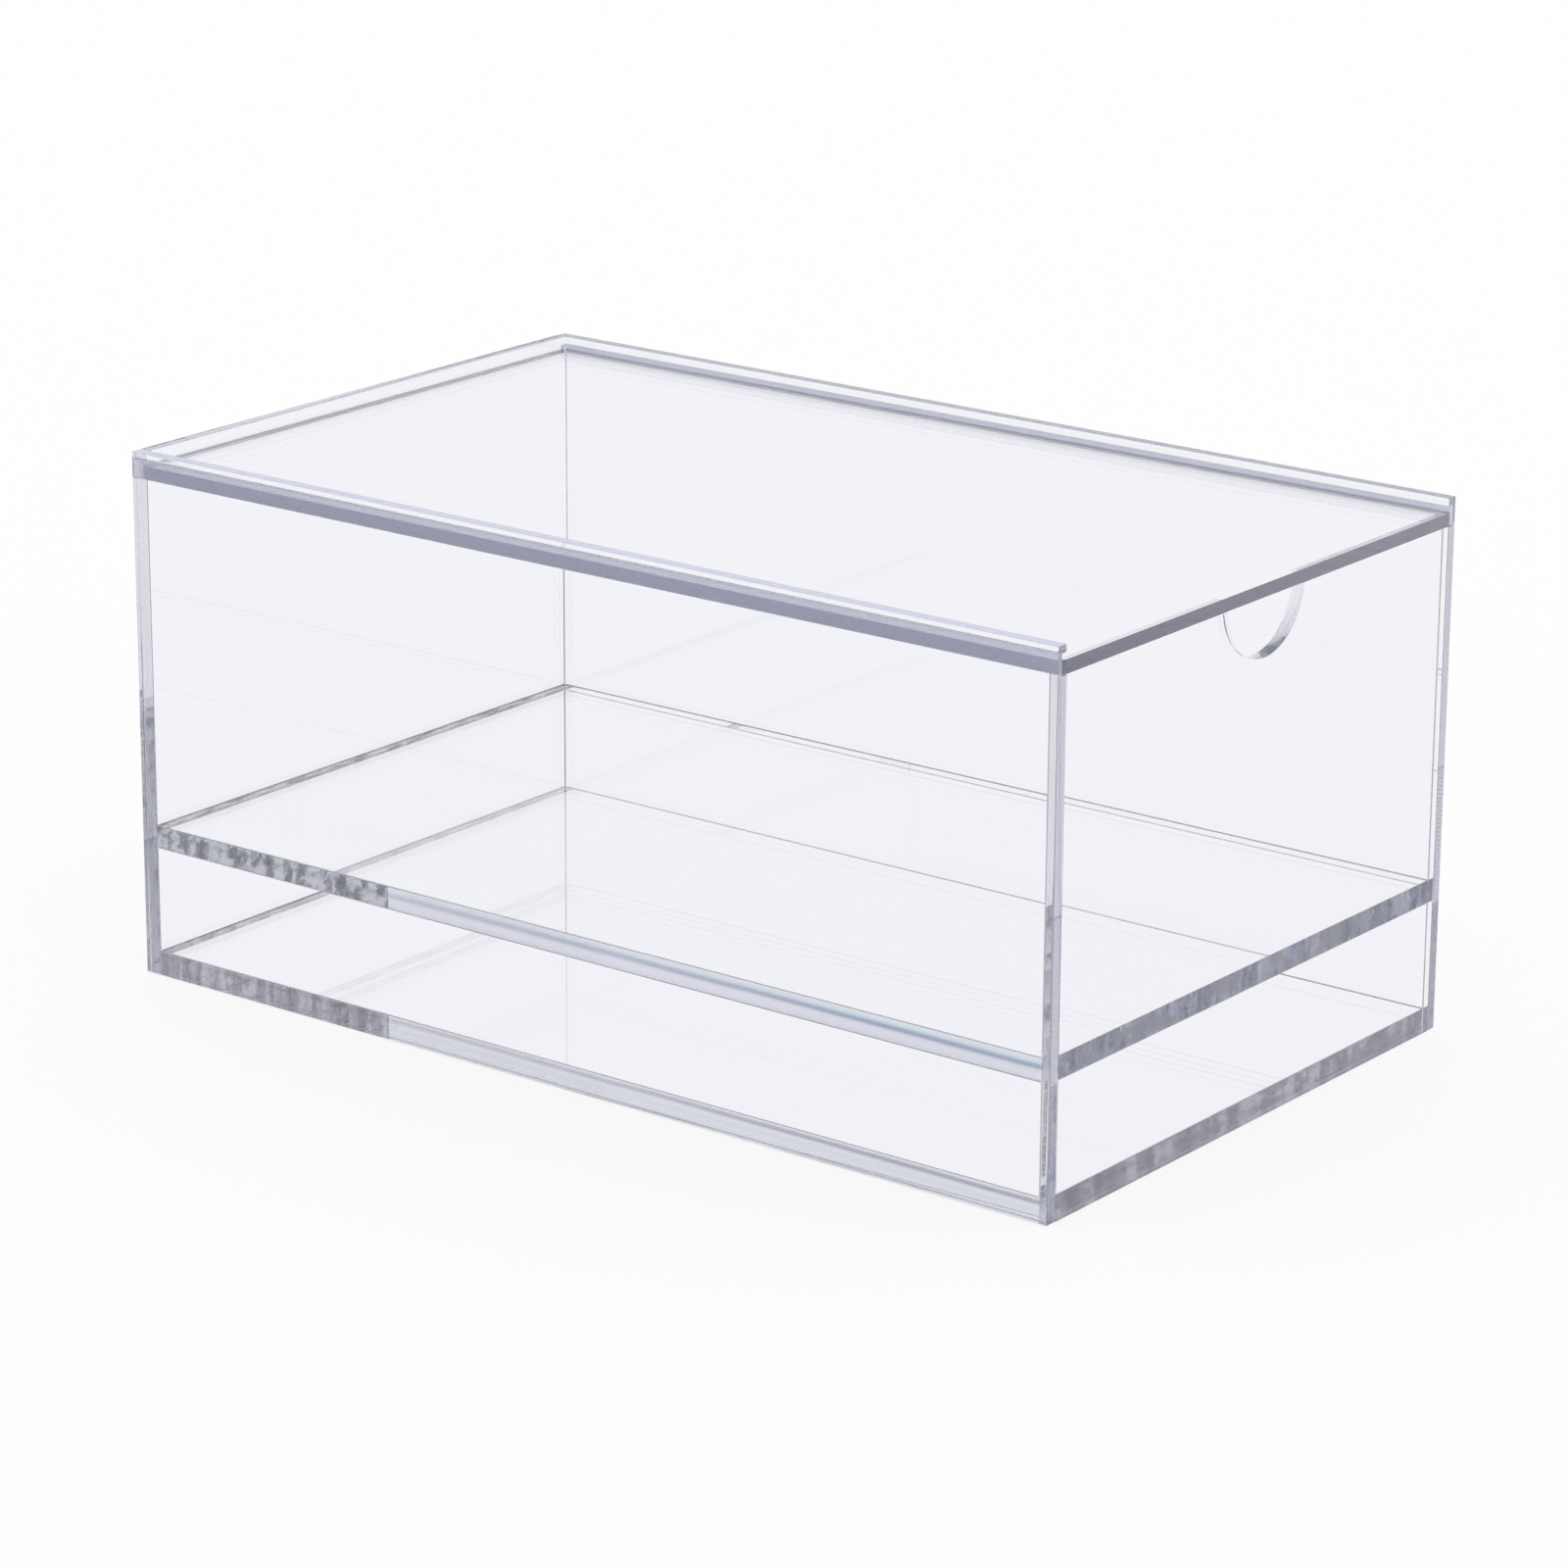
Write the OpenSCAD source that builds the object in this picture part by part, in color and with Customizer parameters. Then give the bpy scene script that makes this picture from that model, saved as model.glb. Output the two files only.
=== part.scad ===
// Clear acrylic storage box with a sliding lid and a raised inner floor.
// Millimetres. The origin is the middle of the underside, +X points to the end
// where the lid slides out, +Y to the back and +Z up.

/* [Box] */
// Length of the box, along the way the lid slides
box_l = 250; // [160:1:400]
// Depth of the box, front to back
box_w = 150; // [100:1:260]
// Height of the box, to the top of its rim
box_h = 122; // [90:1:220]

/* [Sheets] */
// Thickness of the four wall sheets
wall_t = 3; // [2.5:0.5:5]
// Thickness of the base plate
base_t = 5; // [3:0.5:8]
// Thickness of the shelf plate, the floor of the main compartment
shelf_t = 5; // [3:0.5:8]
// Thickness of the lid
lid_t = 3; // [2:0.5:5]

/* [Lower space] */
// Clear height of the closed space under the shelf
lower_h = 25; // [10:1:35]

/* [Slideway] */
// How deep the lid's grooves are milled into the walls
groove_d = 1.5; // [1:0.1:1.8]
// Height of the lip that the walls keep above the grooves
lip_h = 1.8; // [1.5:0.1:4]
// Free height over the lid in its grooves
lid_play = 1.4; // [0.3:0.1:2]
// Gap between the lid's hidden edges and the bottom of the grooves
lid_gap = 0.3; // [0.2:0.05:0.6]
// Radius of the lid's corners
lid_corner_r = 1; // [0.5:0.25:3]

/* [Thumb notch] */
// Radius of the round notch in the right end wall
notch_r = 14.5; // [8:0.5:20]
// How far the notch is cut down from the wall's top edge
notch_depth = 13; // [6:0.5:20]

/* [Hidden] */
$fn = 96;
// Extra length of a cutter past the face it cuts through
through = 1;
// Inner length and depth, between the walls
inner_l = box_l - 2 * wall_t;
inner_w = box_w - 2 * wall_t;
// Underside of the shelf
shelf_z = base_t + lower_h;
// Height of each groove, and the level that the lid lies on
groove_h = lid_t + lid_play;
seat_z = box_h - lip_h - groove_h;
// How far the lid reaches into each groove
lid_bite = groove_d - lid_gap;
lid_l = inner_l + lid_bite + wall_t;
lid_w = inner_w + 2 * lid_bite;
clear_acrylic = [0.86, 0.88, 0.94, 0.35];

// A plate that fills the plan between the walls, with its underside at z
module inner_plate(z, t) {
    translate([-inner_l / 2, -inner_w / 2, z])
        cube([inner_l, inner_w, t]);
}

// Section of a grooved wall: the outer face on x = 0, the groove in the inner face
module grooved_section() {
    difference() {
        square([wall_t, box_h]);
        translate([wall_t - groove_d, seat_z])
            square([groove_d + through, groove_h]);
    }
}

// A grooved wall that stands on the floor and runs along +X, with its inner face towards +Y
module grooved_wall(length) {
    rotate([90, 0, 90])
        linear_extrude(height = length)
            grooved_section();
}

// A flat outline with round corners, its near left corner at the origin
module rounded_outline(length, width, r) {
    translate([r, 0])
        square([length - 2 * r, width]);
    translate([0, r])
        square([length, width - 2 * r]);
    for (x = [r, length - r])
        for (y = [r, width - r])
            translate([x, y])
                circle(r = r);
}

module base_plate() {
    color(clear_acrylic)
        inner_plate(0, base_t);
}

module shelf_plate() {
    color(clear_acrylic)
        inner_plate(shelf_z, shelf_t);
}

module front_wall() {
    color(clear_acrylic)
        translate([-box_l / 2, -box_w / 2, 0])
            grooved_wall(box_l);
}

module back_wall() {
    color(clear_acrylic)
        mirror([0, 1, 0])
            translate([-box_l / 2, -box_w / 2, 0])
                grooved_wall(box_l);
}

module left_end_wall() {
    color(clear_acrylic)
        translate([-box_l / 2, inner_w / 2, 0])
            rotate([0, 0, -90])
                grooved_wall(inner_w);
}

// The end wall stops under the lid, and the notch lets a thumb reach the lid's edge
module right_end_wall() {
    color(clear_acrylic)
        translate([inner_l / 2, 0, 0])
            difference() {
                translate([0, -inner_w / 2, 0])
                    cube([wall_t, inner_w, seat_z]);
                translate([-through, 0, seat_z - notch_depth + notch_r])
                    rotate([0, 90, 0])
                        cylinder(r = notch_r, h = wall_t + 2 * through);
            }
}

// The lid's right edge is flush with the outer face of the right end wall
module lid() {
    color(clear_acrylic)
        translate([box_l / 2 - lid_l, -lid_w / 2, seat_z])
            linear_extrude(height = lid_t)
                rounded_outline(lid_l, lid_w, lid_corner_r);
}

base_plate();
front_wall();
back_wall();
left_end_wall();
right_end_wall();
shelf_plate();
lid();
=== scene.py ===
# Clear acrylic storage box with a sliding lid: looks, studio and camera, in metres
import math

import bmesh
import bpy
from mathutils import Matrix, Vector


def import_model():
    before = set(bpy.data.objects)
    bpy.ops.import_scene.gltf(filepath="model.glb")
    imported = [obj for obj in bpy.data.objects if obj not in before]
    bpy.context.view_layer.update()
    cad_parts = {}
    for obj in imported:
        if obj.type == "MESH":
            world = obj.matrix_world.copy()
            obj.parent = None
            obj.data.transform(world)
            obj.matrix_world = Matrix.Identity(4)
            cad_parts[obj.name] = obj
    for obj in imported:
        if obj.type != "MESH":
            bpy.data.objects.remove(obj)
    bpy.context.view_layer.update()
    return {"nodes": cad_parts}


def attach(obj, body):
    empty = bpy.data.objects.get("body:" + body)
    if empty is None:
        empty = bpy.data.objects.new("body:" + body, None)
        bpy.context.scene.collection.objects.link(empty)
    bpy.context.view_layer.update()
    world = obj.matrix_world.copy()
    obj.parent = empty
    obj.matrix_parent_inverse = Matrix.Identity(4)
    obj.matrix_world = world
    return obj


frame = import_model()

# Camera, fitted to the seven outer corners of the box in the photograph
VIEW_AZIMUTH = math.radians(37.44)
VIEW_ELEVATION = math.radians(17.51)
VIEW_ROLL = math.radians(0.32)
VIEW_DISTANCE = 1.252
VIEW_TARGET = Vector((0.0001, 0.0, 0.0508))
SENSOR_MM = 36.0
FOCAL_PX = 5744.9
IMAGE_PX = 1600
CLIP_START, CLIP_END = 0.05, 50

# Acrylic, its broken edges, the gap between glued sheets and the painted shade on open ends
ACRYLIC_IOR = 1.49
ABSORB_COLOR = (0.86, 0.86, 0.89)
ABSORB_DENSITY = 10.0
BROKEN_EDGE = 0.0003
INNER_EDGE = 0.0001
INNER_SHEETS = "base_plate", "shelf_plate", "left_end_wall", "right_end_wall"
BEVEL_SEGMENTS = 2
WELD_DISTANCE = 1e-6
SEAM_GAP = 0.00001
# Painted shade over the saw marks of the open ends: its colour and how strongly it is mixed in
SAWN_SHADE_COLOR = (0.16, 0.16, 0.20)
END_SHADE = 0.55

# Noises: stretch along x, y and z, detail, roughness, turn
STREAKS = (190, 190, 45), 4.0, 0.72, (0.45, 0.0, 0.0)
BLOTCHES = (150, 150, 260), 4.0, 0.66
GRAIN = (2600, 2600, 2600), 2.0
BUBBLES = (420, 420, 240), 2.0
MILL_MARKS = (900, 900, 5000), 3.0
SCUFFS = (60, 900, 900), 4.0, 0.7, (0.3, 0.9, 0.4)
WAVER = (25, 25, 25), 2.0
CEMENT_RUNS = (45, 45, 45), 3.0, 0.6
CEMENT_FROTH = (1800, 1800, 1800), 2.0

# What each noise adds to a tone
STREAK_SHARE, BLOTCH_SHARE, GRAIN_SHARE = 0.50, 0.38, 0.12
RUN_SHARE, FROTH_SHARE = 0.75, 0.25

# Ramps: stops of a tone or a noise value, each with the colour or the amount it gives
# The grey-violet of the saw marks and the mill marks is partly painted shade, over their random
# tones
DULL_AND_SHADE_TONES = (0.42, (0.30, 0.30, 0.42)), (0.50, (0.72, 0.72, 0.90)), (0.57, (0.98, 0.98, 1.0))
MILLED_AND_SHADE_TONES = (0.35, (0.72, 0.72, 0.90)), (0.65, (0.84, 0.84, 0.98))
BUBBLE_SPOTS = (0.62, 0.0), (0.67, 1.0)
BUBBLE_COLOR = (0.97, 0.97, 0.99)
PATCHY_SHUT = (0.43, 0.95), (0.55, 0.06)
SAWN_SHUT = (0.42, 0.95), (0.50, 0.66), (0.57, 0.20)
MILLED_SHUT = 0.55
SCUFF_ROUGHNESS = (0.66, 0.0), (0.74, 0.035)
CEMENT_TONES = (0.38, (0.80, 0.80, 0.84)), (0.62, (0.93, 0.93, 0.95))
CEMENT_CLEAR = (0.35, 0.12), (0.60, 0.35)

# Surface of the dull places and of the cement
DULL_ROUGHNESS = 0.35
BUMP_STRENGTH = 0.2
BUMP_DEPTH = 0.00005
CEMENT_ROUGHNESS = 0.2

# Painted shade lines, and on the shelf painted cyan highlights, along the polished front edges,
# from the lower to the upper side
SHELF_PAINTED_LINES = (
    (0.00, (0.72, 0.72, 0.84)),
    (0.28, (0.98, 0.98, 1.00)),
    (0.46, (0.80, 0.82, 0.92)),
    (0.56, (0.17, 0.21, 0.33)),
    (0.68, (0.20, 0.25, 0.38)),
    (0.78, (0.56, 0.84, 0.92)),
    (0.90, (0.96, 1.00, 1.00)),
)
BASE_PAINTED_LINES = (
    (0.00, (0.62, 0.64, 0.64)),
    (0.14, (0.97, 0.98, 0.97)),
    (0.40, (0.82, 0.85, 0.82)),
    (0.62, (0.95, 0.96, 0.97)),
    (0.76, (0.20, 0.20, 0.26)),
    (0.86, (0.30, 0.30, 0.38)),
    (0.95, (0.95, 0.95, 0.98)),
)

# The painted lines gain strength along x, by the first number per metre from the second at the
# middle
EDGE_REACH = 3.0, 0.75
WAVER_SHARE = 0.10

# Where a sheet's faces lie in the box
END_IN, SIDE_IN = 0.122, 0.072
END_OUT = 0.125
BASE_TOP, SHELF_BOTTOM, SHELF_TOP, WALL_TOP = 0.005, 0.030, 0.035, 0.1158
LID_LEFT, LID_SIDE = -0.1232, 0.0732
GROOVE_SIDE, GROOVE_TOP = 0.0735, 0.1202
RIM_TOP = 0.122

# How far a dull place reaches past its face and its joint, a height under the box, every height
FACE_REACH = 0.00012
JOINT_MARGIN = 0.0001
BELOW = -0.001
ALL_HEIGHTS = -1, 1

# Cement beads along the inner joints: leg, how far the hollow comes out, how full the curve is
BEAD_LEG = 0.00022
BEAD_HOLLOW = 0.38
BEAD_CURVE = 0.75

# Studio: what the camera sees, what shows through and in the acrylic, and what lights the scene
WHITE = (1.0, 1.0, 1.0)
SEEN_THROUGH = (0.895, 0.902, 0.940)
CEILING = (0.40, 0.41, 0.50)
CEILING_FROM, CEILING_FULL = 0.50, 0.85
FLOOR_COLOR = (0.97, 0.97, 0.97)
FLOOR_GLOW = 0.85
FLOOR_HALF = 6.0
FLOOR_HEIGHT = -0.0003
BOUNCES = 96


class Nodes:
    """One material's or world's node tree, cleared, with short calls for its usual nodes."""

    def __init__(self, tree):
        self.tree = tree
        tree.nodes.clear()

    def add(self, kind, **settings):
        node = self.tree.nodes.new(kind)
        for key, value in settings.items():
            setattr(node, key, value)
        return node

    def put(self, socket, value):
        """Links a node's output to the socket, or sets the socket to a plain value."""
        if isinstance(value, bpy.types.NodeSocket):
            self.tree.links.new(value, socket)
        else:
            socket.default_value = value

    def math(self, operation, a, b=0.0, c=0.0, clamp=False):
        node = self.add("ShaderNodeMath", operation=operation, use_clamp=clamp)
        for socket, value in zip(node.inputs, (a, b, c)):
            self.put(socket, value)
        return node.outputs[0]

    def between(self, value, low, high):
        """1 where low < value < high, and 0 elsewhere."""
        above = self.math("GREATER_THAN", value, low)
        return self.math("MULTIPLY", above, self.math("LESS_THAN", value, high))

    def noise(self, place, stretch, detail=2.0, rough=0.5, turn=(0, 0, 0)):
        mapping = self.add("ShaderNodeMapping")
        self.put(mapping.inputs["Vector"], place)
        mapping.inputs["Rotation"].default_value = turn
        mapping.inputs["Scale"].default_value = stretch
        node = self.add("ShaderNodeTexNoise")
        self.put(node.inputs["Vector"], mapping.outputs[0])
        node.inputs["Scale"].default_value = 1.0
        node.inputs["Detail"].default_value = detail
        node.inputs["Roughness"].default_value = rough
        return node.outputs["Fac"]

    def ramp(self, value, *stops):
        """A ramp whose stops are pairs of a place and a colour or a grey."""
        node = self.add("ShaderNodeValToRGB")
        self.put(node.inputs[0], value)
        line = node.color_ramp.elements
        while len(line) < len(stops):
            line.new(0.5)
        for element, (place, color) in zip(line, stops):
            element.position = place
            element.color = (*color, 1) if isinstance(color, tuple) else (color, color, color, 1)
        return node.outputs[0]

    def mix_color(self, factor, first, second):
        node = self.add("ShaderNodeMix", data_type="RGBA")
        self.put(node.inputs[0], factor)
        self.put(node.inputs[6], first)
        self.put(node.inputs[7], second)
        return node.outputs[2]

    def mix_shader(self, factor, first, second):
        node = self.add("ShaderNodeMixShader")
        self.put(node.inputs[0], factor)
        self.put(node.inputs[1], first)
        self.put(node.inputs[2], second)
        return node.outputs[0]

    def emission(self, color, strength=1.0):
        node = self.add("ShaderNodeEmission")
        node.inputs["Color"].default_value = (*color, 1)
        node.inputs["Strength"].default_value = strength
        return node.outputs[0]


def new_material(name):
    """A material, and its cleared node tree."""
    material = bpy.data.materials.new(name)
    material.use_nodes = True
    return material, Nodes(material.node_tree)


def absorbing(n, out):
    """Takes up light along its way through the sheet, a little less of the blue."""
    volume = n.add("ShaderNodeVolumeAbsorption")
    volume.inputs["Color"].default_value = (*ABSORB_COLOR, 1)
    volume.inputs["Density"].default_value = ABSORB_DENSITY
    n.put(out.inputs["Volume"], volume.outputs[0])


def acrylic(name, sawn=(), patchy=(), milled=(), painted_edge_lines=(), sawn_shade=0.0):
    """Clear sheet with faint scuffs, with the places that its making left dull, and with painted
    shade.

    sawn, patchy and milled list areas as (axis, place, lowest z, highest z): a face across that
    axis, left as the saw cut it, bonded with bubbles and dry spots, or finely milled; their
    grey-violet is partly painted shade. The fourth list gives edges the same way, with the ramp
    of thin painted shade lines, on some with painted cyan highlights, along them last. The last
    argument paints shade over the saw marks of a face that stands open.
    """
    material, n = new_material(name)
    out = n.add("ShaderNodeOutputMaterial")
    shader = n.add("ShaderNodeBsdfPrincipled")
    n.put(out.inputs["Surface"], shader.outputs[0])
    absorbing(n, out)
    place = n.add("ShaderNodeTexCoord").outputs["Object"]
    split = n.add("ShaderNodeSeparateXYZ")
    n.put(split.inputs[0], place)
    axes = dict(zip("xyz", split.outputs))

    def area(axis, where, low, high):
        face = n.math("COMPARE", axes[axis], where, FACE_REACH)
        return n.math("MULTIPLY", face, n.between(axes["z"], low, high))

    def mask(areas):
        total = 0.0
        for axis, where, low, high in areas:
            total = n.math("MAXIMUM", total, area(axis, where, low, high))
        return total

    streaks = n.noise(place, *STREAKS)
    blotches = n.noise(place, *BLOTCHES)
    grain = n.noise(place, *GRAIN)
    tone = n.math("MULTIPLY", streaks, STREAK_SHARE)
    tone = n.math("ADD", tone, n.math("MULTIPLY", blotches, BLOTCH_SHARE))
    tone = n.math("ADD", tone, n.math("MULTIPLY", grain, GRAIN_SHARE))
    # Saw marks at random tones; their grey-violet is partly painted shade
    dull_and_shade = n.ramp(tone, *DULL_AND_SHADE_TONES)
    bubbles = n.ramp(n.noise(place, *BUBBLES), *BUBBLE_SPOTS)
    dull_and_shade = n.mix_color(bubbles, dull_and_shade, (*BUBBLE_COLOR, 1))
    # Mill marks; their grey-violet is partly painted shade
    mill_marks_and_shade = n.ramp(n.noise(place, *MILL_MARKS), *MILLED_AND_SHADE_TONES)

    sawn_part, patchy_part, milled_part = mask(sawn), mask(patchy), mask(milled)
    # Painted shade darkens the saw marks of an open face
    dull_and_shade = n.mix_color(sawn_shade, dull_and_shade, (*SAWN_SHADE_COLOR, 1))
    dull_and_shade = n.mix_color(milled_part, dull_and_shade, mill_marks_and_shade)
    wetted = n.ramp(blotches, *PATCHY_SHUT)
    shut = n.math("MULTIPLY", patchy_part, wetted)
    scored = n.ramp(tone, *SAWN_SHUT)
    shut = n.math("MAXIMUM", shut, n.math("MULTIPLY", sawn_part, scored))
    shut = n.math("MAXIMUM", shut, n.math("MULTIPLY", milled_part, MILLED_SHUT))
    rough_part = n.math("MAXIMUM", n.math("MAXIMUM", sawn_part, patchy_part), milled_part)
    scuffs = n.ramp(n.noise(place, *SCUFFS), *SCUFF_ROUGHNESS)
    clear = white = (*WHITE, 1)
    # Painted shade lines and painted cyan highlights tint the polished front edges
    for axis, where, low, high, colors in painted_edge_lines:
        rise = n.math("DIVIDE", n.math("SUBTRACT", axes["z"], low), high - low)
        waver = n.math("SUBTRACT", n.noise(place, *WAVER), 0.5)
        waver = n.math("MULTIPLY", waver, WAVER_SHARE)
        painted_lines = n.ramp(n.math("ADD", rise, waver), *colors)
        reach = n.math("MULTIPLY_ADD", axes["x"], *EDGE_REACH, clamp=True)
        painted_lines = n.mix_color(reach, white, painted_lines)
        clear = n.mix_color(area(axis, where, low, high), clear, painted_lines)
    n.put(shader.inputs["Base Color"], n.mix_color(rough_part, clear, dull_and_shade))
    n.put(shader.inputs["Transmission Weight"], n.math("SUBTRACT", 1.0, shut, clamp=True))
    roughness = n.math("MAXIMUM", scuffs, n.math("MULTIPLY", rough_part, DULL_ROUGHNESS))
    n.put(shader.inputs["Roughness"], roughness)
    shader.inputs["IOR"].default_value = ACRYLIC_IOR
    bump = n.add("ShaderNodeBump")
    bump.inputs["Strength"].default_value = BUMP_STRENGTH
    bump.inputs["Distance"].default_value = BUMP_DEPTH
    n.put(bump.inputs["Height"], n.math("MULTIPLY", tone, rough_part))
    n.put(shader.inputs["Normal"], bump.outputs[0])
    return material


def cement():
    """Set solvent cement: clear and grey by turns along the bead, with fine bubbles."""
    material, n = new_material("cement_seam")
    out = n.add("ShaderNodeOutputMaterial")
    shader = n.add("ShaderNodeBsdfPrincipled")
    n.put(out.inputs["Surface"], shader.outputs[0])
    place = n.add("ShaderNodeTexCoord").outputs["Object"]
    runs = n.noise(place, *CEMENT_RUNS)
    froth = n.noise(place, *CEMENT_FROTH)
    tone = n.math("MULTIPLY", runs, RUN_SHARE)
    tone = n.math("ADD", tone, n.math("MULTIPLY", froth, FROTH_SHARE))
    n.put(shader.inputs["Base Color"], n.ramp(tone, *CEMENT_TONES))
    n.put(shader.inputs["Transmission Weight"], n.ramp(tone, *CEMENT_CLEAR))
    shader.inputs["Roughness"].default_value = CEMENT_ROUGHNESS
    shader.inputs["IOR"].default_value = ACRYLIC_IOR
    return material


def bead(bm, start, end, first, second):
    """A closed bead from start to end, in the corner that opens along first and second."""
    legs = (
        first * BEAD_LEG,
        (first * BEAD_CURVE + second * BEAD_HOLLOW / 2) * BEAD_LEG,
        (first + second) * BEAD_LEG * BEAD_HOLLOW * BEAD_CURVE,
        (second * BEAD_CURVE + first * BEAD_HOLLOW / 2) * BEAD_LEG,
        second * BEAD_LEG,
        Vector(),
    )
    rings = [[bm.verts.new(point + leg) for leg in legs] for point in (start, end)]
    count = len(legs)
    for i in range(count):
        j = (i + 1) % count
        bm.faces.new((rings[0][i], rings[0][j], rings[1][j], rings[1][i]))
    bm.faces.new(rings[0])
    bm.faces.new(rings[1])


def cement_seams():
    """Beads along the inner joints of the shelf, the base and the four wall corners."""
    bm = bmesh.new()
    up = Vector((0, 0, 1))
    corner = END_IN - BEAD_LEG, SIDE_IN - BEAD_LEG
    for z, rise in ((BASE_TOP, up), (SHELF_BOTTOM, -up), (SHELF_TOP, up)):
        for side in (-1, 1):
            start = Vector((-corner[0], side * SIDE_IN, z))
            end = Vector((corner[0], side * SIDE_IN, z))
            bead(bm, start, end, Vector((0, -side, 0)), rise)
            start = Vector((side * END_IN, -corner[1], z))
            end = Vector((side * END_IN, corner[1], z))
            bead(bm, start, end, Vector((-side, 0, 0)), rise)
    for low, high in ((BASE_TOP, SHELF_BOTTOM), (SHELF_TOP, WALL_TOP)):
        for sx in (-1, 1):
            for sy in (-1, 1):
                foot = Vector((sx * END_IN, sy * SIDE_IN, low + BEAD_LEG))
                head = Vector((sx * END_IN, sy * SIDE_IN, high - BEAD_LEG))
                bead(bm, foot, head, Vector((-sx, 0, 0)), Vector((0, -sy, 0)))
    bmesh.ops.recalc_face_normals(bm, faces=bm.faces)
    mesh = bpy.data.meshes.new("cement_seams")
    bm.to_mesh(mesh)
    bm.free()
    obj = bpy.data.objects.new("cement_seams", mesh)
    bpy.context.collection.objects.link(obj)
    mesh.materials.append(cement())
    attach(obj, "box")


def seal_and_soften(node, name):
    """Welds the sheet's faces, breaks its edges and leaves a fine gap between glued sheets."""
    weld = node.modifiers.new("weld", "WELD")
    weld.merge_threshold = WELD_DISTANCE
    bevel = node.modifiers.new("broken edges", "BEVEL")
    bevel.width = INNER_EDGE if name in INNER_SHEETS else BROKEN_EDGE
    bevel.segments = BEVEL_SEGMENTS
    bevel.limit_method = "ANGLE"
    bevel.harden_normals = True
    seam = node.modifiers.new("seam", "DISPLACE")
    seam.strength = -SEAM_GAP
    seam.mid_level = 0.0


def through_rays(n):
    """Two switches: for a ray that gloss or acrylic has turned, and for a ray from the camera."""
    path = n.add("ShaderNodeLightPath")
    glossy, through = path.outputs["Is Glossy Ray"], path.outputs["Is Transmission Ray"]
    return n.math("ADD", glossy, through, clamp=True), path.outputs["Is Camera Ray"]


def floor():
    """A pale floor with a faint shadow, which the acrylic shows as an even pale ground."""
    signs = (-1, -1), (1, -1), (1, 1), (-1, 1)
    corners = [(x * FLOOR_HALF, y * FLOOR_HALF, 0) for x, y in signs]
    mesh = bpy.data.meshes.new("floor")
    mesh.from_pydata(corners, [], [(0, 1, 2, 3)])
    obj = bpy.data.objects.new("floor", mesh)
    obj.location.z = FLOOR_HEIGHT
    bpy.context.collection.objects.link(obj)
    material, n = new_material("pale_floor")
    out = n.add("ShaderNodeOutputMaterial")
    diffuse = n.add("ShaderNodeBsdfDiffuse")
    diffuse.inputs["Color"].default_value = (*FLOOR_COLOR, 1)
    turned, seen = through_rays(n)
    lit = n.mix_shader(FLOOR_GLOW, diffuse.outputs[0], n.emission(WHITE))
    surface = n.mix_shader(seen, diffuse.outputs[0], lit)
    n.put(out.inputs["Surface"], n.mix_shader(turned, surface, n.emission(SEEN_THROUGH)))
    mesh.materials.append(material)


def world():
    """White light all round, and for gloss and acrylic a pale ground under a greyer ceiling."""
    w = bpy.data.worlds.new("studio")
    bpy.context.scene.world = w
    w.use_nodes = True
    n = Nodes(w.node_tree)
    out = n.add("ShaderNodeOutputWorld")
    light = n.add("ShaderNodeBackground")
    light.inputs["Color"].default_value = (*WHITE, 1)
    split = n.add("ShaderNodeSeparateXYZ")
    n.put(split.inputs[0], n.add("ShaderNodeTexCoord").outputs["Generated"])
    room = n.add("ShaderNodeBackground")
    sky = n.ramp(split.outputs[2], (CEILING_FROM, SEEN_THROUGH), (CEILING_FULL, CEILING))
    n.put(room.inputs["Color"], sky)
    turned = through_rays(n)[0]
    n.put(out.inputs["Surface"], n.mix_shader(turned, light.outputs[0], room.outputs[0]))


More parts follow.
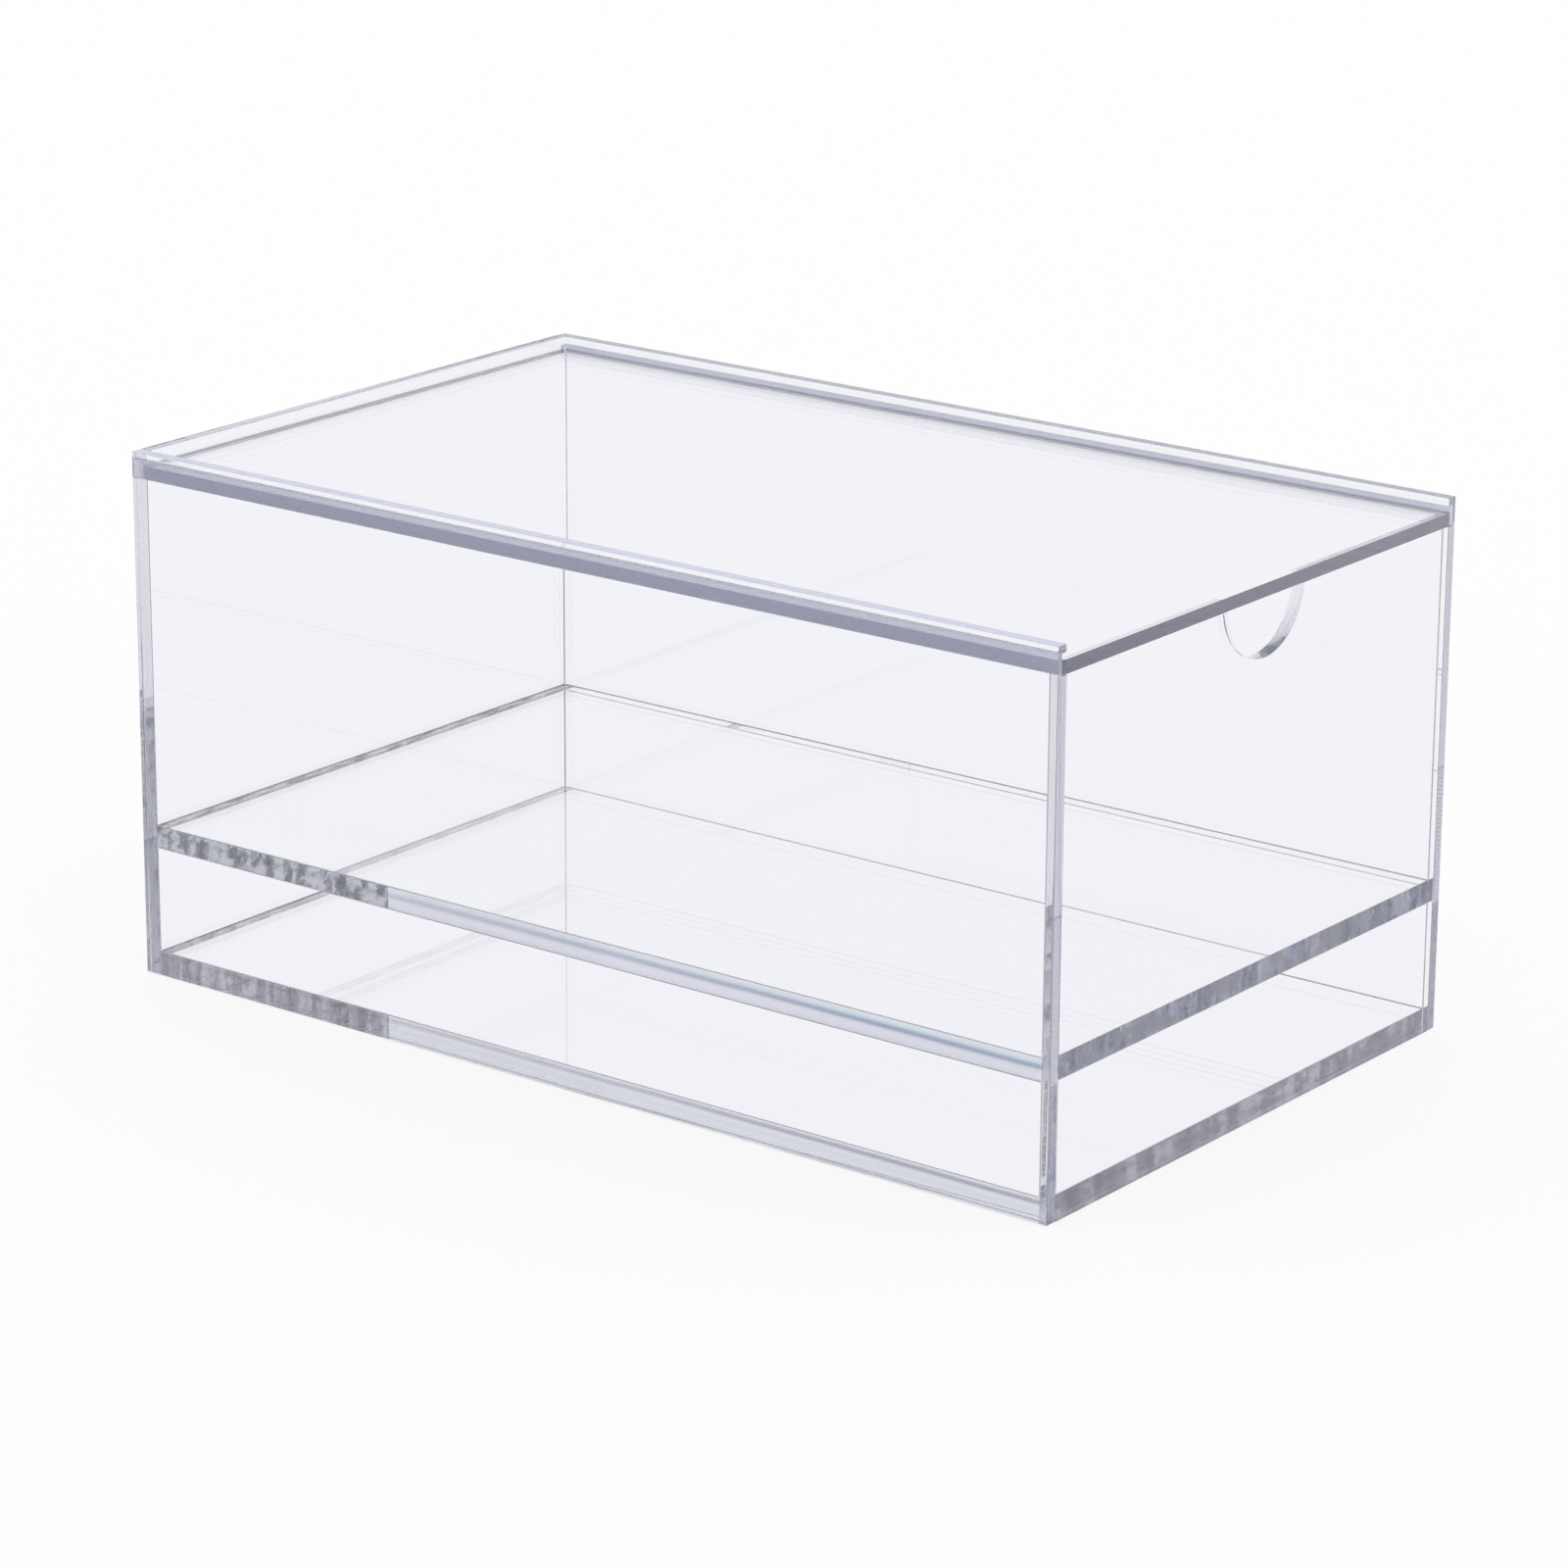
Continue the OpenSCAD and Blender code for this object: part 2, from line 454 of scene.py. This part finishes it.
def camera():
    """The photograph's camera."""
    data = bpy.data.cameras.new("camera")
    data.sensor_width = SENSOR_MM
    data.lens = FOCAL_PX / IMAGE_PX * SENSOR_MM
    data.clip_start = CLIP_START
    data.clip_end = CLIP_END
    obj = bpy.data.objects.new("camera", data)
    bpy.context.collection.objects.link(obj)
    az, el = VIEW_AZIMUTH, VIEW_ELEVATION
    back = Vector((math.sin(az) * math.cos(el), -math.cos(az) * math.cos(el), math.sin(el)))
    right = Vector((0, 0, 1)).cross(back).normalized()
    up = back.cross(right)
    c, s = math.cos(VIEW_ROLL), math.sin(VIEW_ROLL)
    right, up = c * right + s * up, c * up - s * right
    place = Matrix((right, up, back)).transposed().to_4x4()
    place.translation = VIEW_TARGET + back * VIEW_DISTANCE
    obj.matrix_world = place
    bpy.context.scene.camera = obj


scene = bpy.context.scene
scene.view_settings.view_transform = "Standard"
scene.cycles.max_bounces = BOUNCES
scene.cycles.transmission_bounces = BOUNCES
scene.cycles.glossy_bounces = BOUNCES

base_joint = BELOW, BASE_TOP + JOINT_MARGIN
shelf_joint = SHELF_BOTTOM - JOINT_MARGIN, SHELF_TOP + JOINT_MARGIN
# Each sheet's finish, with painted shade on the open sawn ends and painted lines on the polished
# edges
finishes_and_shade = {
    "base_plate": dict(
        sawn=[("x", -END_IN, *ALL_HEIGHTS)],
        painted_edge_lines=[("y", -SIDE_IN, 0.0, BASE_TOP, BASE_PAINTED_LINES)],
    ),
    "shelf_plate": dict(
        patchy=[("x", -END_IN, *ALL_HEIGHTS), ("x", END_IN, *ALL_HEIGHTS)],
        painted_edge_lines=[("y", -SIDE_IN, SHELF_BOTTOM, SHELF_TOP, SHELF_PAINTED_LINES)],
    ),
    "left_end_wall": dict(
        patchy=[("x", -END_IN, *shelf_joint)],
        sawn=[("x", -END_IN, *base_joint)],
    ),
    "right_end_wall": dict(patchy=[("x", END_IN, *shelf_joint)]),
    "front_wall": dict(
        sawn_shade=END_SHADE,
        sawn=[("x", END_OUT, BELOW, SHELF_BOTTOM)],
        milled=[("y", -GROOVE_SIDE, WALL_TOP, GROOVE_TOP), ("z", RIM_TOP, *ALL_HEIGHTS)],
    ),
    "back_wall": dict(
        sawn_shade=END_SHADE,
        sawn=[("x", END_OUT, BELOW, SHELF_BOTTOM)],
        milled=[("y", GROOVE_SIDE, WALL_TOP, GROOVE_TOP)],
    ),
    "lid": dict(
        milled=[
            ("x", LID_LEFT, *ALL_HEIGHTS),
            ("y", -LID_SIDE, *ALL_HEIGHTS),
            ("y", LID_SIDE, *ALL_HEIGHTS),
        ]
    ),
}
for name, node in frame["nodes"].items():
    material = acrylic("clear_acrylic_" + name, **finishes_and_shade[name])
    for part_slot in node.material_slots:
        part_slot.material = material
    seal_and_soften(node, name)
cement_seams()
floor()
world()
camera()
